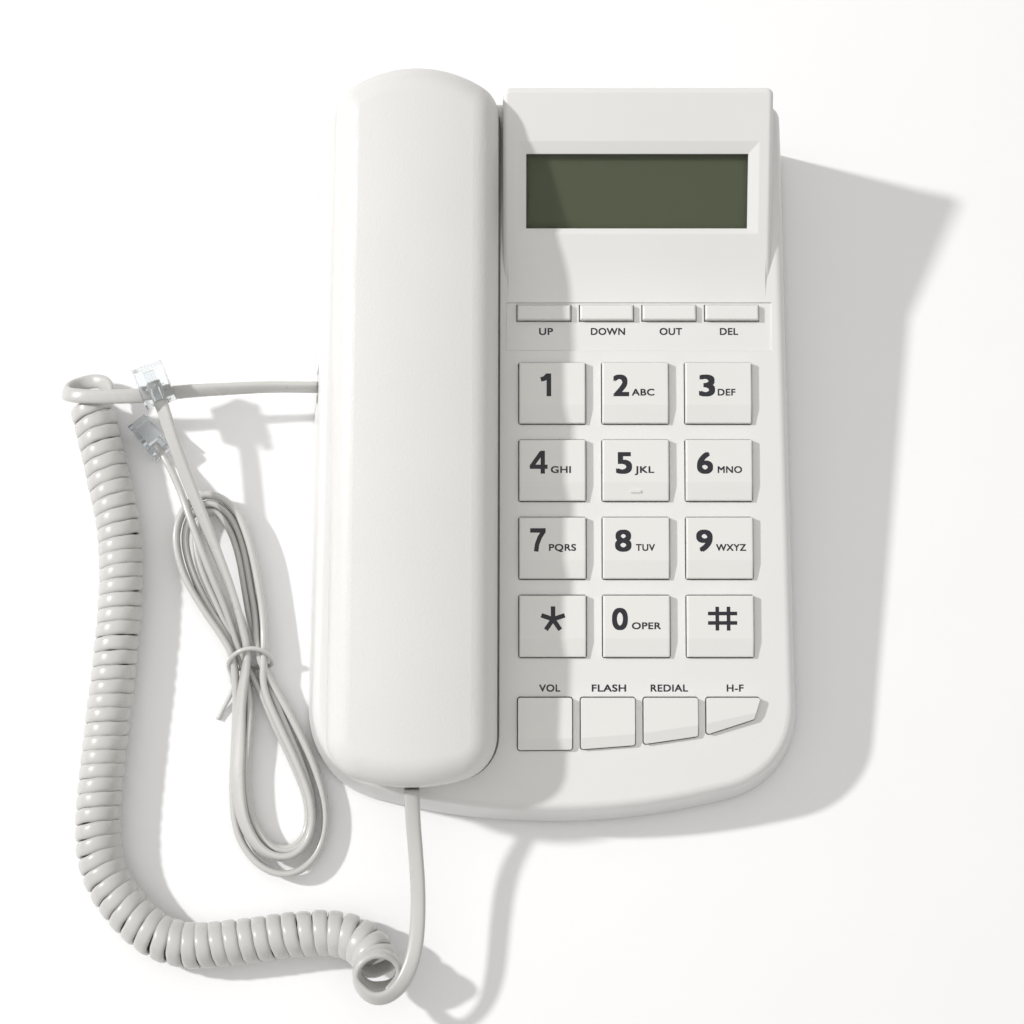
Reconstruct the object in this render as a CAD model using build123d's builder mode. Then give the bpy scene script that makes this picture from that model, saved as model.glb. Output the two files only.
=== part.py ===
"""Corded desk telephone with a caller display: base, handset, curly cord and line cord.

Millimetres, +Z up, +Y away from the user. The origin is the bottom centre of base and handset.
"""
import math
import os

from build123d import *

os.makedirs("parts", exist_ok=True)

# ---------------------------------------------------------------- driving sizes of the base
BASE_WIDTH = 152.4          # at the bottom edge
BASE_BACK = 106.0           # Y of the upright back wall
BASE_FRONT = -113.2         # Y of the bowed front's middle
FRONT_RADIUS = 220.0
FRONT_CORNER = 28.0
BACK_CORNER = 5.0
DRAFT = 8.5                 # degrees, sides and front lean in
FOOT_HEIGHT = 1.2
WALL = 2.0
SEAM = 9.0                  # height of the split between the two shells
EDGE_ROUND = 3.0

DECK_ANGLE = 6.0
DECK_HEIGHT = 31.9          # deck's height at Y = 0
CONSOLE_ANGLE = 18.15
CONSOLE_START = 50.9        # along the deck
CONSOLE_LEFT = -15.4
CONSOLE_RIGHT = 66.9
CONSOLE_CORNER = 2.0
CONSOLE_BLEND = 6.0         # how far the soft bend at its foot reaches each way
CONSOLE_EDGE = 1.6
CONSOLE_ROOT = 24.0         # height inside the base where the console starts
CONSOLE_LENGTH = 70.0

RUNNING_GAP = 0.4           # between pieces that move past each other
KEY_GAP = 0.3               # round each key in its opening

deck_sin = math.sin(math.radians(DECK_ANGLE))
deck_cos = math.cos(math.radians(DECK_ANGLE))
console_sin = math.sin(math.radians(CONSOLE_ANGLE))
console_cos = math.cos(math.radians(CONSOLE_ANGLE))
draft_slope = math.tan(math.radians(DRAFT))

# The deck plane carries keys, cradle and handset: x across, y up the slope, z out of it.
DECK = Plane(origin=(0, 0, DECK_HEIGHT), x_dir=(1, 0, 0), z_dir=(0, -deck_sin, deck_cos))
CONSOLE_FOOT = (0, CONSOLE_START * deck_cos, DECK_HEIGHT + CONSOLE_START * deck_sin)
CONSOLE = Plane(origin=CONSOLE_FOOT, x_dir=(1, 0, 0), z_dir=(0, -console_sin, console_cos))


def deck_point(x, y, z=0.0):
    """A point given along the deck, in the shared frame."""
    return DECK.from_local_coords(Vector(x, y, z))


def deck_direction(x, y, z):
    """A direction given along the deck, in the shared frame."""
    return deck_point(x, y, z) - deck_point(0, 0)


def deck_side(x, y=0.0):
    """The plane across X at one place on the deck: local x runs up the slope, local y out of it."""
    return Plane(origin=deck_point(x, y), x_dir=DECK.y_dir, z_dir=DECK.x_dir)


# ---------------------------------------------------------------- driving sizes of the handset
MOUTH_LEFT, MOUTH_RIGHT = -67.5, -17.1
EAR_LEFT, EAR_RIGHT = -65.7, -16.7
MOUTH_END = -103.3          # middle of each end, along the deck
EAR_END = 112.6
MOUTH_BOW = 6.0
EAR_BOW = 9.0
MOUTH_CORNER = 13.0
EAR_CORNER = 10.0
HANDSET_TOP = 24.4          # above the deck
HANDSET_UNDER = -1.8
HANDSET_PARTING = 6.0
CROWN_RADIUS = 104.0        # across
BACK_RADIUS = 2160.0        # along
SHOULDER = 9.0
HANDSET_WALL = 2.0
CUP_DEPTH = -14.0
CUP_DRAFT = 4.0
EAR_CUP = (-41.8, 78.0, 42.0, 44.0)       # centre x, centre y, width, length
MOUTH_CUP = (-42.3, -74.0, 40.0, 38.0)
CUP_CORNER = 13.0
CUP_ROOT = 2.0              # where a cup starts, inside the handset
CUP_RIM = 2.0               # rounding of a cup's rim
OVERHANG_START = 101.5      # past here the ear end clears the base's back rim
OVERHANG_UNDER = 1.2

CRADLE_GAP = 0.6
CRADLE_DEPTH = 2.6
WELL_DEPTH = 14.4
CRADLE_END = 102.6


def handset_plan(inset):
    """The handset seen from above the deck, less a wall all round."""
    with BuildSketch() as plan:
        with BuildLine():
            ThreePointArc(
                (MOUTH_LEFT, MOUTH_END + MOUTH_BOW),
                ((MOUTH_LEFT + MOUTH_RIGHT) / 2, MOUTH_END),
                (MOUTH_RIGHT, MOUTH_END + MOUTH_BOW),
            )
            Line((MOUTH_RIGHT, MOUTH_END + MOUTH_BOW), (EAR_RIGHT, EAR_END - EAR_BOW))
            ThreePointArc(
                (EAR_RIGHT, EAR_END - EAR_BOW),
                ((EAR_LEFT + EAR_RIGHT) / 2, EAR_END),
                (EAR_LEFT, EAR_END - EAR_BOW),
            )
            Line((EAR_LEFT, EAR_END - EAR_BOW), (MOUTH_LEFT, MOUTH_END + MOUTH_BOW))
        make_face()
        fillet(plan.vertices().sort_by(Axis.Y)[:2], MOUTH_CORNER)
        fillet(plan.vertices().sort_by(Axis.Y)[-2:], EAR_CORNER)
        if inset:
            offset(amount=-inset)
    return plan.sketch


def handset_mass(inset):
    """The handset's outer form without its cups, or its hollow when inset by the wall."""
    with BuildPart() as mass:
        with BuildSketch(DECK.offset(HANDSET_UNDER + inset)):
            add(handset_plan(inset))
        extrude(amount=40)
        crown = HANDSET_TOP - inset
        section = Plane(origin=deck_point(0, 0), x_dir=(1, 0, 0), z_dir=-DECK.y_dir)
        middle = (EAR_LEFT + EAR_RIGHT + MOUTH_LEFT + MOUTH_RIGHT) / 4
        rise = 30.0
        dip = CROWN_RADIUS - math.sqrt(CROWN_RADIUS**2 - rise**2)
        with BuildSketch(section):
            with BuildLine():
                ThreePointArc((middle - rise, crown - dip), (middle, crown), (middle + rise, crown - dip))
                Polyline(
                    (middle + rise, crown - dip),
                    (middle + rise, -30),
                    (middle - rise, -30),
                    (middle - rise, crown - dip),
                )
            make_face()
        turn = Axis(deck_point(0, 0, HANDSET_TOP - BACK_RADIUS), (1, 0, 0))
        revolve(axis=turn, mode=Mode.INTERSECT)
        top = mass.faces().sort_by(Axis.Z)[-1]
        fillet(top.edges(), SHOULDER - inset)
    return mass.part


def cup(place, inset):
    """One cup of the handset, from its mouth down to the rim that lies in the base."""
    x, y, width, length = place
    with BuildPart() as form:
        with BuildSketch(Plane(origin=deck_point(x, y, CUP_ROOT), x_dir=(1, 0, 0), z_dir=-DECK.z_dir)):
            RectangleRounded(width - 2 * inset, length - 2 * inset, CUP_CORNER - inset)
        extrude(amount=CUP_ROOT - CUP_DEPTH - inset, taper=CUP_DRAFT)
        if not inset:
            rim = form.faces().sort_by(Axis.Z)[0]
            fillet(rim.edges(), CUP_RIM)
    return form.part


# ---------------------------------------------------------------- the base's form
SCREW_PLACES = [(-62.0, 42.0), (-62.0, -46.0), (66.0, -66.0), (66.0, 96.0)]
BOSS_RADIUS = 3.6
SCREW_RADIUS = 1.45
PILOT_RADIUS = 1.5
HEAD_RADIUS = 2.7
HEAD_SEAT = 5.7

WELLS = [EAR_CUP, MOUTH_CUP]


def console_mass(inset):
    """The raised wedge behind the keys that holds the display."""
    with BuildPart() as wedge:
        width = CONSOLE_RIGHT - CONSOLE_LEFT - 2 * inset
        with BuildSketch(Plane.XY.offset(CONSOLE_ROOT)):
            with Locations(((CONSOLE_LEFT + CONSOLE_RIGHT) / 2, BASE_BACK - inset)):
                Rectangle(width, CONSOLE_LENGTH, align=(Align.CENTER, Align.MAX))
        extrude(amount=60)
        split(bisect_by=CONSOLE.offset(-inset), keep=Keep.BOTTOM)
        if not inset:
            fillet(wedge.edges().filter_by(Axis.Z).sort_by(Axis.Y)[-2:], CONSOLE_CORNER)
            top = wedge.faces().sort_by(Axis.Z)[-1]
            fillet(top.edges().sort_by(Axis.Y)[1:], CONSOLE_EDGE)
    return wedge.part


def console_foot():
    """The soft bend between the deck and the console: one arc, tangent to both."""
    start = deck_point(0, CONSOLE_START - CONSOLE_BLEND)
    end = CONSOLE.from_local_coords(Vector(0, CONSOLE_BLEND, 0))
    with BuildPart() as bend:
        with BuildSketch(Plane.YZ.offset(CONSOLE_LEFT + CONSOLE_EDGE)):
            with BuildLine():
                TangentArc((start.Y, start.Z), (end.Y, end.Z), tangent=(deck_cos, deck_sin))
                Polyline((end.Y, end.Z), (end.Y, end.Z - 8), (start.Y, start.Z - 3), (start.Y, start.Z))
            make_face()
        extrude(amount=CONSOLE_RIGHT - CONSOLE_LEFT - 2 * CONSOLE_EDGE)
    return bend.part


def base_mass(inset, floor):
    """The base's outer form from a height up, or its hollow when inset by the wall."""
    lean = inset + (floor - FOOT_HEIGHT) * draft_slope
    half = BASE_WIDTH / 2 - lean
    front = BASE_FRONT + lean
    shoulder = front + FRONT_RADIUS - math.sqrt(FRONT_RADIUS**2 - half**2)
    past = BASE_BACK + 40
    with BuildPart() as mass:
        with BuildSketch(Plane.XY.offset(floor)) as plan:
            with BuildLine():
                ThreePointArc((-half, shoulder), (0, front), (half, shoulder))
                Polyline((half, shoulder), (half, past), (-half, past), (-half, shoulder))
            make_face()
            fillet(plan.vertices().sort_by(Axis.Y)[:2], FRONT_CORNER - inset)
        extrude(amount=70, taper=DRAFT)
        split(bisect_by=DECK.offset(-inset), keep=Keep.BOTTOM)
        split(bisect_by=Plane.XZ.offset(inset - BASE_BACK), keep=Keep.TOP)
        back = mass.faces().sort_by(Axis.Y)[-1]
        fillet(back.edges().filter_by(lambda e: abs(e.tangent_at(0.5).Z) > 0.7), BACK_CORNER - inset)
        if not inset:
            deck_face = mass.faces().sort_by(Axis.Z)[-1]
            fillet(deck_face.edges(), EDGE_ROUND)
            add(console_foot())
        add(console_mass(inset))
    return mass.part


def wells(grow):
    """The two wells that the handset's cups drop into, or the blocks round them when grown."""
    with BuildPart() as form:
        for x, y, width, length in WELLS:
            with BuildSketch(DECK.offset(-WELL_DEPTH - grow)):
                with Locations((x, y)):
                    reach = 2 * (CRADLE_GAP + grow)
                    RectangleRounded(width + reach, length + reach, CUP_CORNER + reach / 2)
            extrude(amount=WELL_DEPTH + grow - 0.5)
    return form.part


def cradle(grow):
    """The trough and two wells that hold the handset, or the block round them when grown."""
    with BuildPart() as form:
        with BuildSketch(DECK.offset(-CRADLE_DEPTH - grow)):
            add(handset_plan(-CRADLE_GAP - grow))
            with Locations((0, CRADLE_END + grow)):
                Rectangle(400, 60, align=(Align.CENTER, Align.MIN), mode=Mode.SUBTRACT)
        extrude(amount=CRADLE_DEPTH + grow + 8)
        add(wells(grow))
    return form.part


def base_hollow():
    """What is empty between the two shells: it goes round the cradle and the screw bosses."""
    with BuildPart() as hollow:
        add(base_mass(WALL, FOOT_HEIGHT + WALL))
        add(cradle(WALL), mode=Mode.SUBTRACT)
        with BuildSketch(Plane.XY):
            with Locations(SCREW_PLACES):
                Circle(BOSS_RADIUS)
        extrude(amount=60, mode=Mode.SUBTRACT)
    return hollow.part


# ---------------------------------------------------------------- keys: sizes and places
KEY_WIDTH, KEY_LENGTH = 20.2, 18.6
KEY_PITCH_X, KEY_PITCH_Y = 25.35, 23.7
FIRST_KEY = (-0.3, 15.4)
KEY_TOP = 2.2
KEY_LIP = 1.3               # height of the low front edge
KEY_CREASE = 0.3            # share of the length that slopes down
KEY_ROOT = -3.2
KEY_ROUND = 0.5             # along the cap's edges
KEY_CORNER = 0.5            # of a number key seen from above
FLANGE = 1.0
KEY_NAMES = ["1", "2", "3", "4", "5", "6", "7", "8", "9", "star", "0", "hash"]
KEY_TRAVEL = 1.3

FUNCTION_NAMES = ["volume", "flash", "redial", "handsfree"]
FUNCTION_PITCH = 18.95
FUNCTION_LEFT = -10.8
FUNCTION_WIDTH = 16.3
FUNCTION_TOP = -77.2
FUNCTION_ARC = 280.0        # their front edges follow the base's bowed front
FUNCTION_ARC_CENTRE = (-5.0, 187.0)
FUNCTION_SLANT = 2.0
FUNCTION_CREASE = 3.4       # length that slopes down to the front

MENU_NAMES = ["up", "down", "out", "delete"]
MENU_PITCH = 19.2
MENU_FIRST = (-2.8, 40.3)
MENU_SIZE = (16.3, 4.6)
MENU_TOP = 1.5
MENU_STRIP = (-14.4, 28.7, 67.0, 43.6)      # left, front, right, back
MENU_STRIP_DEPTH = 0.4

LCD_RECESS = (26.15, 27.75, 73.3, 28.0)     # centre x, centre y on the console, width, length
LCD_OPENING = (25.65, 26.65, 67.8, 22.5)
LCD_RECESS_DEPTH = 0.9


def number_key_places():
    """Each number key's name and the middle of its cap on the deck."""
    for index, name in enumerate(KEY_NAMES):
        row, column = divmod(index, 3)
        yield name, FIRST_KEY[0] + column * KEY_PITCH_X, FIRST_KEY[1] - row * KEY_PITCH_Y


def function_arc(x):
    """Where the function keys' common front arc runs at one x."""
    centre_x, centre_y = FUNCTION_ARC_CENTRE
    return centre_y - math.sqrt(FUNCTION_ARC**2 - (x - centre_x) ** 2)


def function_plan(index, grow):
    """One function key seen from above the deck; the last one has a slanted side."""
    left = FUNCTION_LEFT + index * FUNCTION_PITCH
    right = left + FUNCTION_WIDTH
    foot = right - (FUNCTION_SLANT if index == 3 else 0)
    with BuildSketch() as plan:
        Polygon(
            (left, FUNCTION_TOP),
            (left, function_arc(left)),
            (foot, function_arc(foot) + (1.6 if index == 3 else 0)),
            (right, FUNCTION_TOP),
            align=None,
        )
        fillet(plan.vertices(), 0.7)
        if grow:
            offset(amount=grow)
    return plan.sketch


PLUG_LENGTH = 12.0
PLUG_HEIGHT = 6.6
LATCH_WIDTH = 3.2
LATCH_FREE = 3.0            # how far a latch stands off its plug
LATCH_PRESSED = 1.2


def modular_plug(width, latch_drop):
    """A telephone plug: nose towards +Y, contacts up, latch below, cord entry at the back."""
    length, height = PLUG_LENGTH, PLUG_HEIGHT
    with BuildPart() as plug:
        Box(width, length, height)
        fillet(plug.edges().filter_by(Axis.Y), 0.4)
        with BuildSketch(plug.faces().sort_by(Axis.Y)[0]):
            RectangleRounded(width - 3.4, 3.0, 0.8)
        extrude(amount=-4.0, mode=Mode.SUBTRACT)
        with BuildSketch(Plane.XY.offset(height / 2)):
            with Locations((0, length / 2)):
                with GridLocations(1.02, 1, 4, 1):
                    Rectangle(0.5, 4.6, align=(Align.CENTER, Align.MAX))
            with Locations((0, -length / 2 + 4.6)):
                Rectangle(width - 3.6, 2.2)
        extrude(amount=-1.6, mode=Mode.SUBTRACT)
        with BuildSketch(Plane.YZ.offset(-LATCH_WIDTH / 2)):
            with BuildLine():
                Polyline(
                    (length / 2, -height / 2 + 0.4),
                    (length / 2, -height / 2 - 0.4),
                    (length / 2 - 1.2, -height / 2 - 0.8),
                    (-length / 2 - 1.0, -height / 2 - latch_drop),
                    (-length / 2 - 1.0, -height / 2 - latch_drop + 0.7),
                    (length / 2 - 2.4, -height / 2 - 0.1),
                    (length / 2 - 2.6, -height / 2 + 0.4),
                    (length / 2, -height / 2 + 0.4),
                )
            make_face()
        extrude(amount=LATCH_WIDTH)
    return plug.part


def modular_jack(width, socket_depth):
    """A board jack with its mouth towards +Y at the local origin, and a notch for the latch."""
    length, height = 14.0, 11.4
    with BuildPart() as jack:
        with Locations((0, -length / 2, 0)):
            Box(width + 4.2, length, height)
        with Locations((0, 0, 1.0)):
            Box(width + 0.3, socket_depth, 6.9, align=(Align.CENTER, Align.MAX, Align.CENTER),
                mode=Mode.SUBTRACT)
        with Locations((0, 0, -2.4)):
            Box(3.9, socket_depth, 4.4, align=(Align.CENTER, Align.MAX, Align.CENTER),
                mode=Mode.SUBTRACT)
    return jack.part


LINE_JACK_PLACE = Location((30.0, BASE_BACK - 0.2, 19.2))
LINE_JACK_WIDTH = 9.65
HANDSET_JACK_Y = 21.3
HANDSET_JACK_Z = 16.5
HANDSET_JACK_X = -(BASE_WIDTH / 2 - (HANDSET_JACK_Z - FOOT_HEIGHT) * draft_slope) + 1.0
HANDSET_PLUG_WIDTH = 7.65

# ---------------------------------------------------------------- base shells
shell_outside = base_mass(0, FOOT_HEIGHT)
shell_hollow = base_hollow()

HOOK_PLACE = (-42.0, 43.5)
HOOK_SIZE = (12.0, 4.4)

with BuildPart() as base_top_shell:
    add(shell_outside)
    split(bisect_by=Plane.XY.offset(SEAM), keep=Keep.TOP)
    add(shell_hollow, mode=Mode.SUBTRACT)
    add(wells(WALL))
    add(cradle(0), mode=Mode.SUBTRACT)
    # menu strip, then one opening for each key
    left, front, right, back = MENU_STRIP
    with BuildSketch(DECK.offset(-MENU_STRIP_DEPTH)):
        with Locations(((left + right) / 2, (front + back) / 2)):
            Rectangle(right - left, back - front)
    extrude(amount=3, mode=Mode.SUBTRACT)
    with BuildSketch(DECK.offset(-WALL - 2)):
        with Locations([(x, y) for _, x, y in number_key_places()]):
            RectangleRounded(KEY_WIDTH + 2 * KEY_GAP, KEY_LENGTH + 2 * KEY_GAP, KEY_CORNER + KEY_GAP)
        for index in range(4):
            add(function_plan(index, KEY_GAP))
        for index in range(4):
            with Locations((MENU_FIRST[0] + index * MENU_PITCH, MENU_FIRST[1])):
                Rectangle(MENU_SIZE[0] + 2 * KEY_GAP, MENU_SIZE[1] + 2 * KEY_GAP)
    extrude(amount=WALL + 4, mode=Mode.SUBTRACT)
    # display: a bevelled recess, then the window opening
    with BuildSketch(CONSOLE):
        with Locations(LCD_RECESS[:2]):
            Rectangle(*LCD_RECESS[2:])
    with BuildSketch(CONSOLE.offset(-LCD_RECESS_DEPTH)):
        with Locations(LCD_OPENING[:2]):
            Rectangle(*LCD_OPENING[2:])
    loft(mode=Mode.SUBTRACT)
    with BuildSketch(CONSOLE.offset(-WALL - 1)):
        with Locations(LCD_OPENING[:2]):
            Rectangle(*LCD_OPENING[2:])
    extrude(amount=WALL + 1, mode=Mode.SUBTRACT)
    # slot for the hook plunger in the trough floor
    with BuildSketch(DECK.offset(-CRADLE_DEPTH - WALL - 1)):
        with Locations(HOOK_PLACE):
            Rectangle(HOOK_SIZE[0] + 2 * RUNNING_GAP, HOOK_SIZE[1] + 2 * RUNNING_GAP)
    extrude(amount=WALL + 2, mode=Mode.SUBTRACT)
    # jack openings
    with Locations(LINE_JACK_PLACE):
        Box(LINE_JACK_WIDTH + 4.6, 12, 11.8, mode=Mode.SUBTRACT)
    with Locations((HANDSET_JACK_X, HANDSET_JACK_Y, HANDSET_JACK_Z)):
        Box(12, HANDSET_PLUG_WIDTH + 4.6, 11.8, mode=Mode.SUBTRACT)
    # pilot holes for the screws
    with BuildSketch(Plane.XY):
        with Locations(SCREW_PLACES):
            Circle(PILOT_RADIUS)
    extrude(amount=19, mode=Mode.SUBTRACT)

SPEAKER_PLACE = (-42.0, -8.0)
SPEAKER_RADIUS = 19.0
SPEAKER_FRAME = 4.0         # height of its wide frame, then of its magnet
SPEAKER_MAGNET = 7.0
MIC_PLACE = (0.0, -99.0)
BATTERY_PLACE = (31.0, -10.0)
BATTERY_RADIUS = 5.15
BATTERY_LENGTH = 44.0
BATTERY_PITCH = 10.8
BAY_SIZE = (53.0, 35.0)
BAY_TOP = 14.6
BAY_WALL = 1.5
DOOR_SIZE = (56.0, 38.0)
DOOR_THICK = 1.0
MAIN_BOARD = (-52.0, 34.0, 60.0, 98.0)      # left, front, right, back
MAIN_BOARD_UNDER = 11.8
BOARD_POSTS = [(-46, 92), (54, 40), (-46, 40), (54, 92)]

with BuildPart() as base_bottom_shell:
    add(shell_outside)
    split(bisect_by=Plane.XY.offset(SEAM), keep=Keep.BOTTOM)
    add(shell_hollow, mode=Mode.SUBTRACT)
    add(wells(WALL + 0.2), mode=Mode.SUBTRACT)
    # battery bay: a box on the floor, open below, with a ledge for the door
    with BuildSketch(Plane.XY.offset(FOOT_HEIGHT)):
        with Locations(BATTERY_PLACE):
            Rectangle(DOOR_SIZE[0] + 4, DOOR_SIZE[1] + 4)
    extrude(amount=BAY_TOP + BAY_WALL - FOOT_HEIGHT)
    with BuildSketch(Plane.XY.offset(FOOT_HEIGHT - 0.1)):
        with Locations(BATTERY_PLACE):
            Rectangle(*BAY_SIZE)
    extrude(amount=BAY_TOP - FOOT_HEIGHT + 0.1, mode=Mode.SUBTRACT)
    with BuildSketch(Plane.XY.offset(FOOT_HEIGHT - 0.1)):
        with Locations(BATTERY_PLACE):
            Rectangle(DOOR_SIZE[0] + 2 * RUNNING_GAP, DOOR_SIZE[1] + 2 * RUNNING_GAP)
    extrude(amount=DOOR_THICK + RUNNING_GAP + 0.1, mode=Mode.SUBTRACT)
    # standoffs of the main board
    with BuildSketch(Plane.XY.offset(FOOT_HEIGHT + WALL)):
        with Locations(BOARD_POSTS):
            Circle(3.2)
    extrude(amount=MAIN_BOARD_UNDER - FOOT_HEIGHT - WALL)
    # screw holes with seats for the heads, speaker grille and microphone hole
    with Locations([Location((x, y, FOOT_HEIGHT), (180, 0, 0)) for x, y in SCREW_PLACES]):
        CounterBoreHole(PILOT_RADIUS + 0.1, HEAD_RADIUS + 0.3, HEAD_SEAT - FOOT_HEIGHT, depth=9)
    with BuildSketch(Plane.XY):
        with Locations(SPEAKER_PLACE):
            with GridLocations(5, 5, 5, 5):
                Circle(1.2)
        with Locations(MIC_PLACE):
            Circle(0.9)
    extrude(amount=5, mode=Mode.SUBTRACT)

with BuildPart() as battery_door:
    with BuildSketch(Plane.XY.offset(FOOT_HEIGHT)):
        with Locations(BATTERY_PLACE):
            RectangleRounded(*DOOR_SIZE, 1.0)
    extrude(amount=DOOR_THICK)
    with BuildSketch(Plane.XY.offset(FOOT_HEIGHT)):
        with Locations((BATTERY_PLACE[0] + 18, BATTERY_PLACE[1])):
            with GridLocations(2.4, 1, 4, 1):
                Rectangle(0.9, 14)
    extrude(amount=0.5, mode=Mode.SUBTRACT)

BATTERY_AXIS = FOOT_HEIGHT + DOOR_THICK + 1.2 + BATTERY_RADIUS

with BuildPart() as batteries:
    with BuildSketch(Plane.YZ.offset(BATTERY_PLACE[0] - BATTERY_LENGTH / 2)):
        with Locations((BATTERY_PLACE[1], BATTERY_AXIS)):
            with GridLocations(BATTERY_PITCH, 1, 3, 1):
                Circle(BATTERY_RADIUS)
    extrude(amount=BATTERY_LENGTH - 1)
    with BuildSketch(Plane.YZ.offset(BATTERY_PLACE[0] + BATTERY_LENGTH / 2 - 1)):
        with Locations((BATTERY_PLACE[1], BATTERY_AXIS)):
            with GridLocations(BATTERY_PITCH, 1, 3, 1):
                Circle(1.9)
    extrude(amount=1)

with BuildPart() as battery_contacts:
    for side in (-1, 1):
        with BuildSketch(Plane.XY.offset(BATTERY_AXIS - 4.5)):
            with Locations((BATTERY_PLACE[0] + side * (BAY_SIZE[0] / 2 - 0.4), BATTERY_PLACE[1])):
                Rectangle(0.5, 3 * BATTERY_PITCH - 1.4)
        extrude(amount=9)

# ---------------------------------------------------------------- inside the base
BOARD_LEFT, BOARD_RIGHT = -12.6, 61.4
BOARD_FRONT, BOARD_BACK = -93.0, 46.0
MAT_TOP = -6.0
MAT_THICK = 1.0
BOARD_THICK = 1.6

with BuildPart() as keypad_mat:
    with BuildSketch(DECK.offset(MAT_TOP - MAT_THICK)) as mat_plan:
        with Locations(((BOARD_LEFT + BOARD_RIGHT) / 2, (BOARD_FRONT + BOARD_BACK) / 2)):
            Rectangle(BOARD_RIGHT - BOARD_LEFT, BOARD_BACK - BOARD_FRONT)
        chamfer(mat_plan.vertices().sort_by(Axis.Y)[:2], 6)
    extrude(amount=MAT_THICK)

with BuildPart() as keypad_board:
    with BuildSketch(DECK.offset(MAT_TOP - MAT_THICK - BOARD_THICK)) as board_plan:
        with Locations(((BOARD_LEFT + BOARD_RIGHT) / 2, (BOARD_FRONT + BOARD_BACK) / 2)):
            Rectangle(BOARD_RIGHT - BOARD_LEFT, BOARD_BACK - BOARD_FRONT)
        chamfer(board_plan.vertices().sort_by(Axis.Y)[:2], 6)
    extrude(amount=BOARD_THICK)

MAIN_BOARD_TOP = MAIN_BOARD_UNDER + BOARD_THICK

with BuildPart() as main_board:
    left, front, right, back = MAIN_BOARD
    with BuildSketch(Plane.XY.offset(MAIN_BOARD_UNDER)):
        with Locations(((left + right) / 2, (front + back) / 2)):
            Rectangle(right - left, back - front)
        with Locations(BOARD_POSTS):
            Circle(1.6, mode=Mode.SUBTRACT)
    extrude(amount=BOARD_THICK)

with BuildPart() as board_parts:
    with BuildSketch(Plane.XY.offset(MAIN_BOARD_TOP)):
        with Locations((6, 62), (48, 62)):
            Rectangle(14, 12)
    extrude(amount=9)
    with BuildSketch(Plane.XY.offset(MAIN_BOARD_TOP)):
        with Locations((26, 56), (26, 70)):
            Rectangle(10, 7)
        with Locations((8, 86), (48, 86)):
            Circle(4)
    extrude(amount=5)

with BuildPart() as lcd_window:
    with BuildSketch(CONSOLE.offset(-WALL - 1.2)):
        with Locations(LCD_OPENING[:2]):
            Rectangle(LCD_OPENING[2] + 3, LCD_OPENING[3] + 3)
    extrude(amount=1.2)

with BuildPart() as lcd_panel:
    with BuildSketch(CONSOLE.offset(-WALL - 4.4)):
        with Locations(LCD_OPENING[:2]):
            Rectangle(LCD_OPENING[2] + 4, LCD_OPENING[3] + 6)
    extrude(amount=2.8)

with BuildPart() as lcd_holder:
    with BuildSketch(CONSOLE.offset(-WALL - 6.4)):
        with Locations(LCD_OPENING[:2]):
            Rectangle(LCD_OPENING[2] + 6.2, LCD_OPENING[3] + 8.4)
    extrude(amount=6.4)
    with BuildSketch(CONSOLE.offset(-WALL - 4.6)):
        with Locations(LCD_OPENING[:2]):
            Rectangle(LCD_OPENING[2] + 4.4, LCD_OPENING[3] + 6.4)
    extrude(amount=5, mode=Mode.SUBTRACT)

with BuildPart() as line_jack:
    with Locations(LINE_JACK_PLACE):
        add(modular_jack(LINE_JACK_WIDTH, 11.5))

with BuildPart() as handset_jack:
    with Locations(Location((HANDSET_JACK_X, HANDSET_JACK_Y, HANDSET_JACK_Z), (0, 0, 90))):
        add(modular_jack(HANDSET_PLUG_WIDTH, 12.6))

with BuildPart() as base_speaker:
    with BuildSketch(Plane.XY.offset(FOOT_HEIGHT + WALL)):
        with Locations(SPEAKER_PLACE):
            Circle(SPEAKER_RADIUS)
    extrude(amount=SPEAKER_FRAME)
    with BuildSketch(Plane.XY.offset(FOOT_HEIGHT + WALL + SPEAKER_FRAME)):
        with Locations(SPEAKER_PLACE):
            Circle(SPEAKER_RADIUS / 2)
    extrude(amount=SPEAKER_MAGNET)

with BuildPart() as base_microphone:
    with BuildSketch(Plane.XY.offset(FOOT_HEIGHT + WALL)):
        with Locations(MIC_PLACE):
            Circle(4.85)
    extrude(amount=5)

HOOK_REST_GAP = 0.4         # under the resting handset
HOOK_FLANGE = (16.0, 8.0)
HOOK_FLANGE_THICK = 1.5
HOOK_FOOT = -12.0
HOOK_ROUND = 0.8

with BuildPart() as hook_plunger:
    with BuildSketch(DECK.offset(HOOK_FOOT)):
        with Locations(HOOK_PLACE):
            Rectangle(*HOOK_FLANGE)
    extrude(amount=HOOK_FLANGE_THICK)
    with BuildSketch(DECK.offset(HOOK_FOOT)):
        with Locations(HOOK_PLACE):
            Rectangle(*HOOK_SIZE)
    extrude(amount=HANDSET_UNDER - HOOK_REST_GAP - HOOK_FOOT)
    fillet(hook_plunger.faces().sort_by(Axis.Z)[-1].edges(), HOOK_ROUND)

with BuildPart() as hook_switch:
    foot = deck_point(*HOOK_PLACE, HOOK_FOOT - RUNNING_GAP)
    with BuildSketch(Plane.XY.offset(MAIN_BOARD_TOP)):
        with Locations((HOOK_PLACE[0], foot.Y)):
            Rectangle(14, 6)
    extrude(amount=foot.Z - 0.6 - MAIN_BOARD_TOP)

with BuildPart() as feet:
    with BuildSketch(Plane.XY):
        with Locations((-60, 92), (60, 80), (-58, -76), (58, -76)):
            Circle(6)
    extrude(amount=FOOT_HEIGHT)

with BuildPart() as base_screws:
    with BuildSketch(Plane.XY.offset(HEAD_SEAT - 2.2)):
        with Locations(SCREW_PLACES):
            Circle(HEAD_RADIUS)
    extrude(amount=2.2)
    with BuildSketch(Plane.XY.offset(HEAD_SEAT)):
        with Locations(SCREW_PLACES):
            Circle(SCREW_RADIUS)
    extrude(amount=11)

# ---------------------------------------------------------------- keys
keys = {}

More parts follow.
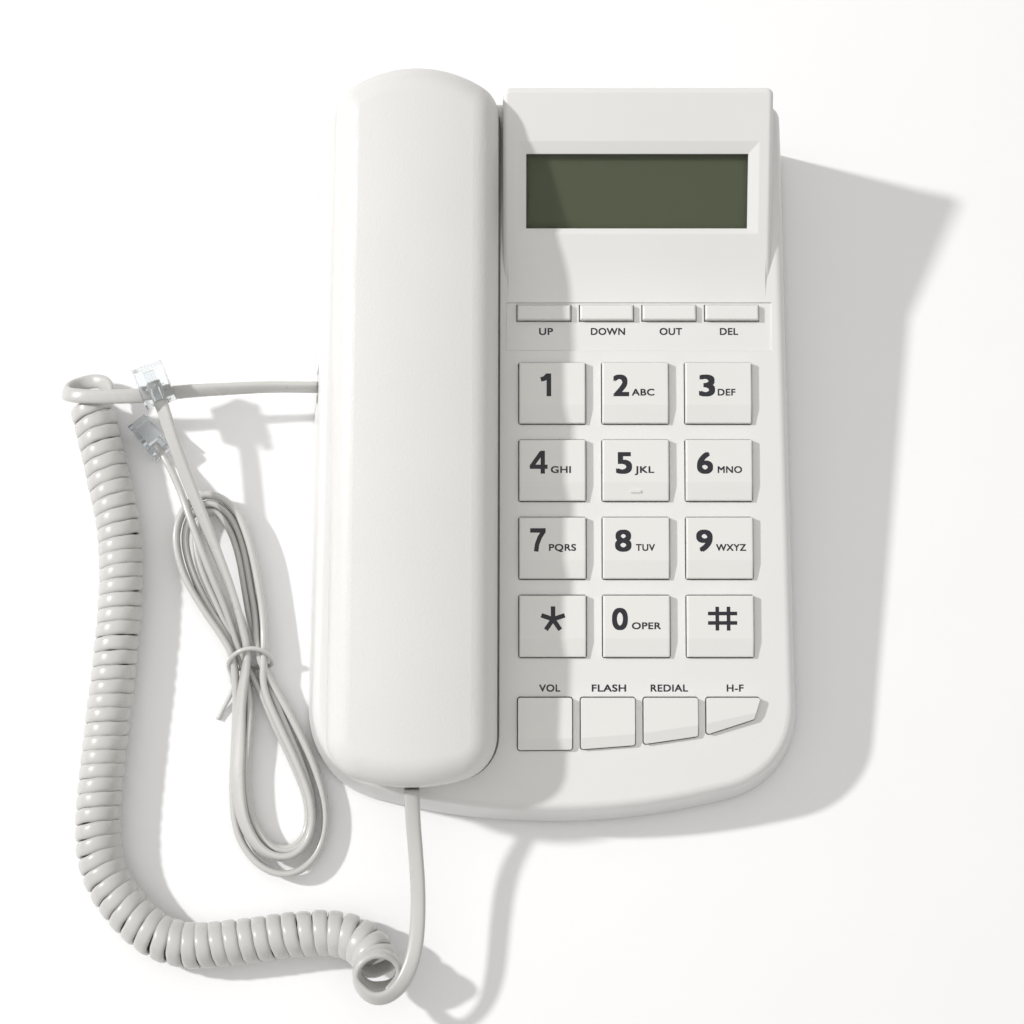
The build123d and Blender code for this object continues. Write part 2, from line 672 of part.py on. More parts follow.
for name, x, y in number_key_places():
    half = KEY_LENGTH / 2
    crease = -half + KEY_CREASE * KEY_LENGTH
    with BuildPart() as key:
        with BuildSketch(deck_side(x, y)):
            Polygon(
                (half, KEY_ROOT), (half, KEY_TOP), (crease, KEY_TOP), (-half, KEY_LIP), (-half, KEY_ROOT),
                align=None,
            )
        extrude(amount=KEY_WIDTH / 2, both=True)
        exposed = key.edges().filter_by(lambda e: DECK.to_local_coords(e.center()).Z > KEY_LIP - 1)
        fillet([e for e in exposed if abs(DECK.to_local_coords(e.center()).Y - y - crease) > 0.01], KEY_ROUND)
        if name == "5":
            slope = math.degrees(math.atan2(KEY_TOP - KEY_LIP, crease + half))
            bar = deck_point(x, y + (crease - half) / 2, (KEY_TOP + KEY_LIP) / 2)
            with Locations(Location(bar, (DECK_ANGLE + slope, 0, 0))):
                Box(3.2, 0.7, 0.7)
        with BuildSketch(DECK.offset(KEY_ROOT - FLANGE)):
            with Locations((x, y)):
                Rectangle(KEY_WIDTH + 2, KEY_LENGTH + 2)
        extrude(amount=FLANGE)
    keys["key_" + name] = key.part

for index, name in enumerate(FUNCTION_NAMES):
    left = FUNCTION_LEFT + index * FUNCTION_PITCH
    with BuildPart() as key:
        with BuildSketch(DECK.offset(KEY_ROOT)):
            add(function_plan(index, 0))
        extrude(amount=KEY_TOP - KEY_ROOT)
        front = Vector(FUNCTION_WIDTH, function_arc(left + FUNCTION_WIDTH) - function_arc(left)).normalized()
        crease = deck_point(left, function_arc(left) + FUNCTION_CREASE, KEY_TOP)
        steep = (KEY_TOP - KEY_LIP) / FUNCTION_CREASE
        cut = Plane(origin=crease, z_dir=deck_direction(front.Y * steep, -front.X * steep, 1))
        split(bisect_by=cut, keep=Keep.BOTTOM)
        with BuildSketch(DECK.offset(KEY_ROOT - FLANGE)):
            add(function_plan(index, FLANGE * 0.8))
        extrude(amount=FLANGE)
    keys["key_" + name] = key.part

for index, name in enumerate(MENU_NAMES):
    x = MENU_FIRST[0] + index * MENU_PITCH
    with BuildPart() as key:
        with BuildSketch(DECK.offset(KEY_ROOT)):
            with Locations((x, MENU_FIRST[1])):
                Rectangle(*MENU_SIZE)
        extrude(amount=MENU_TOP - KEY_ROOT)
        cap = key.faces().sort_by(Axis.Z)[-1]
        fillet(cap.edges(), 0.6)
        with BuildSketch(DECK.offset(KEY_ROOT - FLANGE)):
            with Locations((x, MENU_FIRST[1])):
                Rectangle(MENU_SIZE[0] + 1.6, MENU_SIZE[1] + 1.6)
        extrude(amount=FLANGE)
    keys["key_" + name] = key.part

# ---------------------------------------------------------------- handset
HANDSET_SCREWS = [(-42.2, 30.0), (-42.2, -46.0)]
EAR_HOLES = 4.5
HANDSET_PLUG_X = -42.3
HANDSET_PLUG_HEIGHT = 8.0
SOCKET_MOUTH = MOUTH_END + 2.8

handset_outside = handset_mass(0)
handset_inside = handset_mass(HANDSET_WALL)

with BuildPart() as handset_outer_shell:
    add(handset_outside)
    add(handset_inside, mode=Mode.SUBTRACT)
    split(bisect_by=DECK.offset(HANDSET_PARTING), keep=Keep.TOP)
    # the two screw posts reach down to the inner shell's floor
    with BuildSketch(DECK.offset(HANDSET_UNDER + HANDSET_WALL + 2.4)):
        with Locations(HANDSET_SCREWS):
            Circle(3.4)
    extrude(amount=HANDSET_TOP - HANDSET_UNDER - HANDSET_WALL - 4)
    with BuildSketch(DECK.offset(HANDSET_UNDER)):
        with Locations(HANDSET_SCREWS):
            Circle(PILOT_RADIUS)
    extrude(amount=14, mode=Mode.SUBTRACT)
    with BuildSketch(DECK.offset(HANDSET_PLUG_HEIGHT - 4.3)):
        with Locations((HANDSET_PLUG_X, MOUTH_END)):
            Rectangle(HANDSET_PLUG_WIDTH + 0.8, 8)
    extrude(amount=9.2, mode=Mode.SUBTRACT)

with BuildPart() as handset_inner_shell:
    add(handset_outside)
    add(handset_inside, mode=Mode.SUBTRACT)
    split(bisect_by=DECK.offset(HANDSET_PARTING), keep=Keep.BOTTOM)
    for place in WELLS:
        add(cup(place, 0))
    for place in WELLS:
        add(cup(place, HANDSET_WALL), mode=Mode.SUBTRACT)
    # step up over the base's back rim
    with BuildSketch(deck_side(-90)):
        with Locations((OVERHANG_START, OVERHANG_UNDER)):
            Rectangle(30, 20, align=(Align.MIN, Align.MAX))
    extrude(amount=100, mode=Mode.SUBTRACT)
    # sound holes
    with BuildSketch(DECK.offset(CUP_DEPTH - 1)):
        with Locations(EAR_CUP[:2]):
            Circle(1.0)
            with PolarLocations(EAR_HOLES, 6):
                Circle(1.0)
        with Locations(MOUTH_CUP[:2]):
            with GridLocations(3, 1, 3, 1):
                Circle(0.9)
    extrude(amount=4, mode=Mode.SUBTRACT)
    # screw seats
    with BuildSketch(DECK.offset(HANDSET_UNDER)):
        with Locations(HANDSET_SCREWS):
            Circle(5.0)
    extrude(amount=4.4)
    with BuildSketch(DECK.offset(HANDSET_UNDER - 1)):
        with Locations(HANDSET_SCREWS):
            Circle(HEAD_RADIUS + 0.3)
    extrude(amount=1 + 2.4, mode=Mode.SUBTRACT)
    with BuildSketch(DECK.offset(HANDSET_UNDER - 1)):
        with Locations(HANDSET_SCREWS):
            Circle(PILOT_RADIUS + 0.1)
    extrude(amount=8, mode=Mode.SUBTRACT)
    with BuildSketch(DECK.offset(HANDSET_PLUG_HEIGHT - 4.3)):
        with Locations((HANDSET_PLUG_X, MOUTH_END)):
            Rectangle(HANDSET_PLUG_WIDTH + 0.8, 8)
    extrude(amount=9.2, mode=Mode.SUBTRACT)

with BuildPart() as handset_screws:
    with BuildSketch(DECK.offset(HANDSET_UNDER + 0.2)):
        with Locations(HANDSET_SCREWS):
            Circle(HEAD_RADIUS)
    extrude(amount=2.2)
    with BuildSketch(DECK.offset(HANDSET_UNDER + 2.4)):
        with Locations(HANDSET_SCREWS):
            Circle(SCREW_RADIUS)
    extrude(amount=9)

with BuildPart() as handset_receiver:
    with BuildSketch(DECK.offset(CUP_DEPTH + HANDSET_WALL)):
        with Locations(EAR_CUP[:2]):
            Circle(17)
    extrude(amount=5)
    with BuildSketch(DECK.offset(CUP_DEPTH + HANDSET_WALL + 5)):
        with Locations(EAR_CUP[:2]):
            Circle(9)
    extrude(amount=3)

with BuildPart() as handset_microphone:
    with BuildSketch(DECK.offset(CUP_DEPTH + HANDSET_WALL)):
        with Locations(MOUTH_CUP[:2]):
            Circle(4.85)
    extrude(amount=6)

with BuildPart() as handset_weight:
    with BuildSketch(DECK.offset(HANDSET_UNDER + HANDSET_WALL)):
        with Locations((-42.2, -8)):
            Rectangle(18, 44)
    extrude(amount=6)

with BuildPart() as handset_socket:
    mouth = Plane(origin=deck_point(HANDSET_PLUG_X, SOCKET_MOUTH, HANDSET_PLUG_HEIGHT), x_dir=(-1, 0, 0),
                  z_dir=DECK.z_dir)
    with Locations(mouth.location):
        add(modular_jack(HANDSET_PLUG_WIDTH, 12.6))

# ---------------------------------------------------------------- cords
HANDSET_CORD = 3.6          # round tube with the flat cord's own section area
LINE_CORD = 3.0
COIL_DIAMETER = 14.0

BASE_LEAD_ROUTE = [
    (HANDSET_JACK_X - 0.2, 21.3, 17.5), (-87.0, 21.7, 17.3), (-101.0, 21.1, 16.8),
    (-115.0, 20.4, 16.6), (-129.0, 18.8, 16.4), (-143.0, 18.3, 16.0),
]
COIL_ROUTE = [
    (-146.8, 17.5, 7.3), (-141.0, -3.5, 7.2), (-136.3, -23.0, 7.2), (-135.0, -43.0, 7.2),
    (-137.2, -74.0, 7.2), (-140.3, -112.0, 7.2), (-138.6, -128.0, 7.2), (-128.5, -142.5, 7.2),
    (-114.0, -151.6, 7.2), (-92.0, -149.0, 7.2), (-70.5, -146.4, 7.3), (-60.8, -147.9, 7.8),
    (-54.6, -151.9, 11.2), (-52.4, -156.6, 16.0), (-52.2, -158.8, 20.0),
]
HANDSET_LEAD_ROUTE = [
    tuple(deck_point(HANDSET_PLUG_X, MOUTH_END - 0.6, HANDSET_PLUG_HEIGHT + 1)),
    (-42.2, -112.0, 26.4), (-41.4, -122.0, 23.0), (-40.6, -133.0, 21.0), (-40.2, -144.0, 20.0),
    (-40.9, -153.0, 19.4), (-44.6, -160.8, 18.0),
]
TAIL_A_ROUTE = [(-122.0, 15.2, 21.8), (-118.6, 4.5, 20.0), (-114.2, -7.5, 16.2), (-110.0, -20.0, 11.6)]
TAIL_B_ROUTE = [(-124.2, 3.0, 5.4), (-120.8, -2.6, 5.8), (-117.8, -8.0, 6.4), (-115.0, -12.6, 7.2)]


def corner_radii(points):
    """The arc at each corner, as large as the shorter of its two runs allows."""
    radii = []
    for before, corner, after in zip(points, points[1:], points[2:]):
        incoming = Vector(corner) - Vector(before)
        outgoing = Vector(after) - Vector(corner)
        half_turn = math.radians(incoming.get_angle(outgoing) / 2)
        radii.append(0.45 * min(incoming.length, outgoing.length) / math.tan(half_turn))
    return radii


def cord_tube(points, diameter):
    """A cord along its route: straight runs joined by tangent arcs."""
    radii = corner_radii(points)
    with BuildPart() as tube:
        with BuildLine() as route:
            FilletPolyline(*points, radius=radii)
        with BuildSketch(Plane(origin=route.line @ 0, z_dir=route.line % 0)):
            Circle(diameter / 2)
        sweep(path=route.line)
    length = route.wires()[0].length
    expected = math.pi * diameter**2 / 4 * length
    print(f"route {length:6.1f} mm, volume {tube.part.volume / expected:.3f} of section x length,"
          f" arcs {[round(r, 1) for r in radii]}")
    return tube.part


with BuildPart() as handset_cord_base_plug:
    place = (HANDSET_JACK_X + PLUG_LENGTH / 2, HANDSET_JACK_Y, HANDSET_JACK_Z + 1)
    with Locations(Location(place, (0, 0, -90))):
        add(modular_plug(HANDSET_PLUG_WIDTH, LATCH_PRESSED))

with BuildPart() as handset_cord_plug:
    seat = Plane(
        origin=deck_point(HANDSET_PLUG_X, SOCKET_MOUTH - 2.5 + PLUG_LENGTH / 2, HANDSET_PLUG_HEIGHT + 1),
        x_dir=(1, 0, 0),
        z_dir=DECK.z_dir,
    )
    with Locations(seat.location):
        add(modular_plug(HANDSET_PLUG_WIDTH, LATCH_PRESSED))

with BuildPart() as handset_cord_base_lead:
    add(cord_tube(BASE_LEAD_ROUTE, HANDSET_CORD))

with BuildPart() as handset_cord_coil:
    add(cord_tube(COIL_ROUTE, COIL_DIAMETER))

with BuildPart() as handset_cord_lead:
    add(cord_tube(HANDSET_LEAD_ROUTE, HANDSET_CORD))

LINE_PLUG_WIDTH = 9.65
HANK_UNDER = 1.2
HANK_TOP = 10.4
HANK_ENDS = [((-108.3, -21.0), 10.5), ((-95.2, -62.3), 6.0), ((-84.6, -114.5), 13.0)]   # centre, radius
TIE_TAIL_ROUTE = [(-102.2, -60.5, 4.6), (-103.4, -68.5, 2.8), (-105.4, -81.0, 1.8)]

with BuildPart() as line_cord_plug_a:
    with Locations(Location((-124.35, 20.95, 21.8), (0, 180, -22))):
        add(modular_plug(LINE_PLUG_WIDTH, LATCH_FREE))

with BuildPart() as line_cord_plug_b:
    # lies on its side: nose away to the left, latch towards the line cord
    nose = math.radians(40)
    lying = Plane(origin=(-128.2, 7.8, 5.4), x_dir=(0, 0, 1), z_dir=(-math.cos(nose), -math.sin(nose), 0))
    with Locations(lying.location):
        add(modular_plug(LINE_PLUG_WIDTH, LATCH_FREE))

with BuildPart() as line_cord_tail_a:
    add(cord_tube(TAIL_A_ROUTE, LINE_CORD))

with BuildPart() as line_cord_tail_b:
    add(cord_tube(TAIL_B_ROUTE, LINE_CORD))

with BuildPart() as line_cord_hank:
    for (first, first_radius), (second, second_radius) in zip(HANK_ENDS, HANK_ENDS[1:]):
        with BuildSketch(Plane.XY.offset(HANK_UNDER)):
            with Locations(first):
                Circle(first_radius)
            with Locations(second):
                Circle(second_radius)
            make_hull()
        extrude(amount=HANK_TOP - HANK_UNDER)

with BuildPart() as line_cord_tie:
    waist, waist_radius = HANK_ENDS[1]
    along = Vector(*HANK_ENDS[2][0]) - Vector(*HANK_ENDS[0][0])
    band = Plane(origin=(*waist, (HANK_UNDER + HANK_TOP) / 2), x_dir=along.cross(Vector(0, 0, 1)), z_dir=along)
    with BuildSketch(band.offset(-0.7)):
        RectangleRounded(2 * waist_radius + 3.0, HANK_TOP - HANK_UNDER + 2.2, 3.6)
        RectangleRounded(2 * waist_radius + 1.2, HANK_TOP - HANK_UNDER + 0.8, 3.0, mode=Mode.SUBTRACT)
    extrude(amount=1.4)
    add(cord_tube(TIE_TAIL_ROUTE, 1.2))

exported = {
    "base_top_shell": base_top_shell.part,
    "base_bottom_shell": base_bottom_shell.part,
    "battery_door": battery_door.part,
    "batteries": batteries.part,
    "battery_contacts": battery_contacts.part,
    "keypad_mat": keypad_mat.part,
    "keypad_board": keypad_board.part,
    "main_board": main_board.part,
    "board_parts": board_parts.part,
    "lcd_window": lcd_window.part,
    "lcd_panel": lcd_panel.part,
    "lcd_holder": lcd_holder.part,
    "line_jack": line_jack.part,
    "handset_jack": handset_jack.part,
    "base_speaker": base_speaker.part,
    "base_microphone": base_microphone.part,
    "hook_plunger": hook_plunger.part,
    "hook_switch": hook_switch.part,
    "feet": feet.part,
    "base_screws": base_screws.part,
    "handset_outer_shell": handset_outer_shell.part,
    "handset_inner_shell": handset_inner_shell.part,
    "handset_screws": handset_screws.part,
    "handset_receiver": handset_receiver.part,
    "handset_microphone": handset_microphone.part,
    "handset_weight": handset_weight.part,
    "handset_socket": handset_socket.part,
    "handset_cord_base_plug": handset_cord_base_plug.part,
    "handset_cord_base_lead": handset_cord_base_lead.part,
    "handset_cord_coil": handset_cord_coil.part,
    "handset_cord_lead": handset_cord_lead.part,
    "handset_cord_plug": handset_cord_plug.part,
    "line_cord_hank": line_cord_hank.part,
    "line_cord_tail_a": line_cord_tail_a.part,
    "line_cord_tail_b": line_cord_tail_b.part,
    "line_cord_plug_a": line_cord_plug_a.part,
    "line_cord_plug_b": line_cord_plug_b.part,
    "line_cord_tie": line_cord_tie.part,
    **keys,
}

for name, part in exported.items():
    part.label = name
    export_step(part, f"parts/{name}.step")
    print(f"{name:24s} {part.volume / 1000:8.2f} cm3, {len(part.solids())} solids")
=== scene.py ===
import math
import random

import bpy
import numpy as np
from mathutils import Matrix, Vector


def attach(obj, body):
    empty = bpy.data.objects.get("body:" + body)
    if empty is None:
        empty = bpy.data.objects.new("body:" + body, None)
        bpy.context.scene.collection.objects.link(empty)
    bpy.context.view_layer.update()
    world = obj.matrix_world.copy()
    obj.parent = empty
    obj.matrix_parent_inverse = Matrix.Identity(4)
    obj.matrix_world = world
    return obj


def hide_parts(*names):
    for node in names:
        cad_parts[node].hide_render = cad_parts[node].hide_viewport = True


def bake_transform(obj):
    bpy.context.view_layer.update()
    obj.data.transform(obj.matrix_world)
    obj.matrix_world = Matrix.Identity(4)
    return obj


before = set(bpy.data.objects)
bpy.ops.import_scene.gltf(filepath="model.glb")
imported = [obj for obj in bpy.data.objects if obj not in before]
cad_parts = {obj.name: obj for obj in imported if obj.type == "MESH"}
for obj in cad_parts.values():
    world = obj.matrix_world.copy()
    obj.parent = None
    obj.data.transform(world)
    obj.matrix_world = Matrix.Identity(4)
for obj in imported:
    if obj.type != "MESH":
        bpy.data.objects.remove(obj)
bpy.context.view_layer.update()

MM = 0.001
scene = bpy.context.scene
rng = random.Random(11)

# ------------------------------------------------------------------ the deck, as in the CAD
DECK_ANGLE = math.radians(6.0)
DECK_HEIGHT = 31.9


def deck_point(x, y, z=0.0):
    """A point given along the deck in mm, in the row frame in metres."""
    sin, cos = math.sin(DECK_ANGLE), math.cos(DECK_ANGLE)
    return Vector((x, y * cos - z * sin, DECK_HEIGHT + y * sin + z * cos)) * MM


# ------------------------------------------------------------------ camera, light and floor
CAMERA_TILT = math.radians(10.5)
CAMERA_PLACE = (-0.0126, -0.128286, 0.609618)
CAMERA_LENS = 68.1
camera_data = bpy.data.cameras.new("camera")
camera_data.sensor_width = 36.0
camera_data.lens = CAMERA_LENS
camera = bpy.data.objects.new("camera", camera_data)
camera.location = CAMERA_PLACE
camera.rotation_euler = (CAMERA_TILT, 0, 0)
scene.collection.objects.link(camera)
scene.camera = camera
scene.view_settings.view_transform = "Standard"

world = bpy.data.worlds.new("world")
scene.world = world
world.use_nodes = True
SKY_ZENITH, SKY_HORIZON = 1.04, 0.20       # soft light from above, little from the sides
SKY_COLOUR = (1.0, 0.988, 0.965, 1.0)


def sky():
    """Light from all round that is brightest overhead, by the square of its height."""
    tree = world.node_tree
    place = tree.nodes.new("ShaderNodeTexCoord")
    split = tree.nodes.new("ShaderNodeSeparateXYZ")
    tree.links.new(place.outputs["Generated"], split.inputs[0])
    square = tree.nodes.new("ShaderNodeMath")
    square.operation = "POWER"
    square.use_clamp = True
    square.inputs[1].default_value = 2.0
    tree.links.new(split.outputs["Z"], square.inputs[0])
    ramp = tree.nodes.new("ShaderNodeMapRange")
    ramp.inputs["To Min"].default_value = SKY_HORIZON
    ramp.inputs["To Max"].default_value = SKY_ZENITH
    tree.links.new(square.outputs[0], ramp.inputs["Value"])
    tree.nodes["Background"].inputs["Color"].default_value = SKY_COLOUR
    tree.links.new(ramp.outputs["Result"], tree.nodes["Background"].inputs["Strength"])


sky()

LIGHT_FROM = Vector((-1.19, 0.365, 1.0)).normalized()
LIGHT_DISTANCE = 2.5
LIGHT_AIM = Vector((-0.02, -0.02, 0.03))
LIGHT_SIZE = 0.14
LIGHT_POWER = 43.0
light_data = bpy.data.lights.new("key_light", "AREA")
light_data.shape = "DISK"
light_data.size = LIGHT_SIZE
light_data.energy = LIGHT_POWER
light = bpy.data.objects.new("key_light", light_data)
light.location = LIGHT_AIM + LIGHT_FROM * LIGHT_DISTANCE
light.rotation_euler = (-LIGHT_FROM).to_track_quat("-Z", "Y").to_euler()
scene.collection.objects.link(light)


# ------------------------------------------------------------------ materials
def shader(name):
    """A new material with its node tree, its Principled shader and a link helper."""
    material = bpy.data.materials.new(name)
    material.use_nodes = True
    tree = material.node_tree
    return material, tree, tree.nodes["Principled BSDF"]


def noise(tree, scale, detail=2.0, rough=0.5):
    """A noise texture in object space; scale is in cells per metre."""
    place = tree.nodes.new("ShaderNodeTexCoord")
    node = tree.nodes.new("ShaderNodeTexNoise")
    node.inputs["Scale"].default_value = scale
    node.inputs["Detail"].default_value = detail
    node.inputs["Roughness"].default_value = rough
    tree.links.new(place.outputs["Object"], node.inputs["Vector"])
    return node.outputs["Fac"]


def spread(tree, value, low, high, start=0.3, end=0.7):
    """Maps a 0-1 value to a range."""
    node = tree.nodes.new("ShaderNodeMapRange")
    node.inputs["From Min"].default_value = start
    node.inputs["From Max"].default_value = end
    node.inputs["To Min"].default_value = low
    node.inputs["To Max"].default_value = high
    tree.links.new(value, node.inputs["Value"])
    return node.outputs["Result"]


def mix(tree, factor, first, second, mode="MIX"):
    """Mixes two colours; each is a colour or a socket."""
    node = tree.nodes.new("ShaderNodeMix")
    node.data_type = "RGBA"
    node.blend_type = mode
    for socket, value in ((node.inputs["Factor"], factor), (node.inputs[6], first), (node.inputs[7], second)):
        if isinstance(value, (int, float)):
            socket.default_value = value
        elif isinstance(value, tuple):
            socket.default_value = (*value, 1.0)
        else:
            tree.links.new(value, socket)
    return node.outputs[2]


def edges(tree, radius):
    """A mask that is 1 on sharp edges, from the difference that rounding makes to the normal."""
    bevel = tree.nodes.new("ShaderNodeBevel")
    bevel.samples = 6
    bevel.inputs["Radius"].default_value = radius
    geometry = tree.nodes.new("ShaderNodeNewGeometry")
    dot = tree.nodes.new("ShaderNodeVectorMath")
    dot.operation = "DOT_PRODUCT"
    tree.links.new(bevel.outputs["Normal"], dot.inputs[0])
    tree.links.new(geometry.outputs["Normal"], dot.inputs[1])
    return spread(tree, dot.outputs["Value"], 1.0, 0.0, 0.80, 0.985)


def moulded(name, colour, rough, grain=1500.0, height=0.02, variation=0.03, wear=0.0, round_edge=0.0, coat=0.0,
            cavity_shade=0.12):
    """Moulded plastic or rubber: slight clouding, fine grain, uneven gloss, rubbed edges and painted shade in its
    gaps.

    grain is in cells per metre; height and round_edge are in mm.
    """
    material, tree, out = shader(name)
    clouds = noise(tree, 28.0, 3.0)
    dull = tuple(c * (1 - variation) for c in colour)
    bright = tuple(min(1.0, c * (1 + variation)) for c in colour)
    base = mix(tree, spread(tree, clouds, 0.0, 1.0), dull, bright)
    if wear:
        rubbed = tuple(min(1.0, c * (1 + wear)) for c in colour)
        base = mix(tree, edges(tree, 0.0004), base, rubbed)
    if cavity_shade:
        # painted shade: the colour is darkened in hollows and gaps, wherever ambient occlusion finds them
        cavity = tree.nodes.new("ShaderNodeAmbientOcclusion")
        cavity.samples = 6
        cavity.inputs["Distance"].default_value = 0.002
        shade = spread(tree, cavity.outputs["AO"], cavity_shade, 0.0, 0.25, 0.9)
        base = mix(tree, shade, base, tuple(c * 0.55 for c in colour))
    tree.links.new(base, out.inputs["Base Color"])
    tree.links.new(spread(tree, noise(tree, 160.0, 3.0), rough - 0.05, rough + 0.06), out.inputs["Roughness"])
    bump = tree.nodes.new("ShaderNodeBump")
    bump.inputs["Strength"].default_value = 1.0
    bump.inputs["Distance"].default_value = height * MM
    tree.links.new(noise(tree, grain, 2.0, 0.6), bump.inputs["Height"])
    if round_edge:
        bevel = tree.nodes.new("ShaderNodeBevel")
        bevel.samples = 6
        bevel.inputs["Radius"].default_value = round_edge * MM
        tree.links.new(bevel.outputs["Normal"], bump.inputs["Normal"])
    tree.links.new(bump.outputs["Normal"], out.inputs["Normal"])
    out.inputs["Coat Weight"].default_value = coat
    out.inputs["Coat Roughness"].default_value = 0.12
    out.inputs["Specular IOR Level"].default_value = 0.5
    return material


def metal(name, colour, rough, grain=900.0):
    """Plated or bare metal with a brushed grain and uneven gloss."""
    material, tree, out = shader(name)
    streaks = noise(tree, grain, 4.0)
    base = mix(tree, spread(tree, streaks, 0.0, 1.0), tuple(c * 0.85 for c in colour), colour)
    tree.links.new(base, out.inputs["Base Color"])
    tree.links.new(spread(tree, streaks, rough - 0.08, rough + 0.1), out.inputs["Roughness"])
    out.inputs["Metallic"].default_value = 1.0
    bump = tree.nodes.new("ShaderNodeBump")
    bump.inputs["Distance"].default_value = 0.01 * MM
    tree.links.new(streaks, bump.inputs["Height"])
    tree.links.new(bump.outputs["Normal"], out.inputs["Normal"])
    return material


def clear(name, colour, rough, ior, alpha=1.0, transmission=1.0):
    """Clear plastic with faint moulding haze."""
    material, tree, out = shader(name)
    haze = noise(tree, 220.0, 3.0)
    base = mix(tree, spread(tree, haze, 0.0, 1.0), colour, tuple(c * 0.97 for c in colour))
    tree.links.new(base, out.inputs["Base Color"])
    tree.links.new(spread(tree, haze, rough, rough + 0.03), out.inputs["Roughness"])
    out.inputs["IOR"].default_value = ior
    out.inputs["Transmission Weight"].default_value = transmission
    out.inputs["Alpha"].default_value = alpha
    return material


WARM_WHITE = (0.80, 0.796, 0.785)
base_plastic = moulded("base_plastic", WARM_WHITE, 0.42, grain=1700.0, height=0.010, variation=0.012, wear=0.03,
                       round_edge=0.35)
handset_plastic = moulded("handset_plastic", (0.76, 0.753, 0.738), 0.40, height=0.075, variation=0.012, wear=0.02,
                          round_edge=0.3)
key_plastic = moulded("key_plastic", (0.81, 0.803, 0.777), 0.38, grain=2200.0, height=0.006, variation=0.012,
                      wear=0.03, round_edge=0.3)
cord_vinyl = moulded("cord_vinyl", (0.585, 0.577, 0.556), 0.30, grain=700.0, height=0.006, coat=0.25, cavity_shade=0.35)
tie_vinyl = moulded("tie_vinyl", (0.62, 0.62, 0.60), 0.34, grain=900.0, height=0.010, coat=0.2, cavity_shade=0.2)
dark_plastic = moulded("dark_plastic", (0.04, 0.04, 0.042), 0.45, variation=0.10, wear=0.35, round_edge=0.2)
mat_rubber = moulded("mat_rubber", (0.55, 0.55, 0.56), 0.65, grain=1200.0, variation=0.05)
foot_rubber = moulded("foot_rubber", (0.05, 0.05, 0.05), 0.75, grain=1400.0, height=0.04, variation=0.12, wear=0.2,
                      round_edge=0.3)
board = moulded("board", (0.02, 0.11, 0.045), 0.35, grain=500.0, variation=0.15)
board_black = moulded("board_black", (0.03, 0.03, 0.03), 0.5, variation=0.12)
battery_jacket = moulded("battery_jacket", (0.03, 0.03, 0.035), 0.3, grain=300.0, height=0.01, variation=0.1,
                         coat=0.3)
contact_metal = metal("contact_metal", (0.72, 0.70, 0.64), 0.32)
speaker_metal = metal("speaker_metal", (0.25, 0.25, 0.26), 0.5)
capsule_metal = metal("capsule_metal", (0.75, 0.75, 0.77), 0.3)
weight_iron = metal("weight_iron", (0.3, 0.3, 0.31), 0.6)
screw_steel = metal("screw_steel", (0.62, 0.62, 0.64), 0.3)
window_clear = clear("window_clear", (0.05, 0.06, 0.04), 0.05, 1.49, alpha=0.10, transmission=0.0)
plug_clear = clear("plug_clear", (0.93, 0.955, 0.97), 0.04, 1.55)
lcd_glass = moulded("lcd_glass", (0.100, 0.116, 0.062), 0.6, grain=300.0, height=0.002, cavity_shade=0.0)
ink = moulded("ink", (0.010, 0.011, 0.019), 0.40, height=0.003, variation=0.15, cavity_shade=0.0)

SLOT_MATERIALS = {
    "base_plastic": base_plastic, "handset_plastic": handset_plastic, "key_plastic": key_plastic,
    "window": window_clear, "lcd": lcd_glass, "dark_plastic": dark_plastic, "mat_rubber": mat_rubber,
    "board": board, "board_parts": board_black, "battery_jacket": battery_jacket,
    "contact_metal": contact_metal, "speaker": speaker_metal, "capsule": capsule_metal,
    "weight_iron": weight_iron, "screw_steel": screw_steel, "foot_rubber": foot_rubber,
    "cord_vinyl": cord_vinyl, "clear_plastic": plug_clear, "tie_vinyl": tie_vinyl,
}

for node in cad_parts.values():
    for holder in node.material_slots:
        slot_name = holder.material.name.split(".")[0]
        if slot_name in SLOT_MATERIALS:
            holder.material = SLOT_MATERIALS[slot_name]
        else:
            print("no material for", node.name, slot_name)


# ------------------------------------------------------------------ floor
def add_mesh(name, vertices, faces, material, smooth=True):
    """A mesh object from plain vertices and faces."""
    mesh = bpy.data.meshes.new(name)
    mesh.from_pydata([tuple(v) for v in vertices], [], [tuple(f) for f in faces])
    mesh.materials.append(material)
    if smooth:
        mesh.shade_smooth()
    mesh.update()
    piece = bpy.data.objects.new(name, mesh)
    scene.collection.objects.link(piece)
    return piece


FLOOR_HALF = 3.0
paper = moulded("paper", (0.955, 0.955, 0.96), 0.7, grain=900.0, height=0.01, variation=0.004, cavity_shade=0.0)
floor = add_mesh("floor", [(-FLOOR_HALF, -FLOOR_HALF, 0), (FLOOR_HALF, -FLOOR_HALF, 0),
                           (FLOOR_HALF, FLOOR_HALF, 0), (-FLOOR_HALF, FLOOR_HALF, 0)], [(0, 1, 2, 3)], paper, False)


# ------------------------------------------------------------------ smooth lines and ribbons
def spline_line(points, per_point=12):
    """Points read from a NURBS spline of order 3 with these control points, in metres."""
    curve = bpy.data.curves.new("route", "CURVE")
    curve.dimensions = "3D"
    spline = curve.splines.new("NURBS")
    spline.points.add(len(points) - 1)
    for point, place in zip(spline.points, points):
        point.co = (*place, 1.0)
    spline.order_u = 3
    spline.use_endpoint_u = True
    spline.resolution_u = per_point
    holder = bpy.data.objects.new("route", curve)
    scene.collection.objects.link(holder)
    bpy.context.view_layer.update()
    mesh = bpy.data.meshes.new_from_object(holder)
    line = np.array([v.co for v in mesh.vertices])
    bpy.data.objects.remove(holder)
    bpy.data.curves.remove(curve)
    bpy.data.meshes.remove(mesh)
    return line


def run_length(line):
    """Distance along a line at each of its points."""
    return np.concatenate([[0.0], np.cumsum(np.linalg.norm(np.diff(line, axis=0), axis=1))])


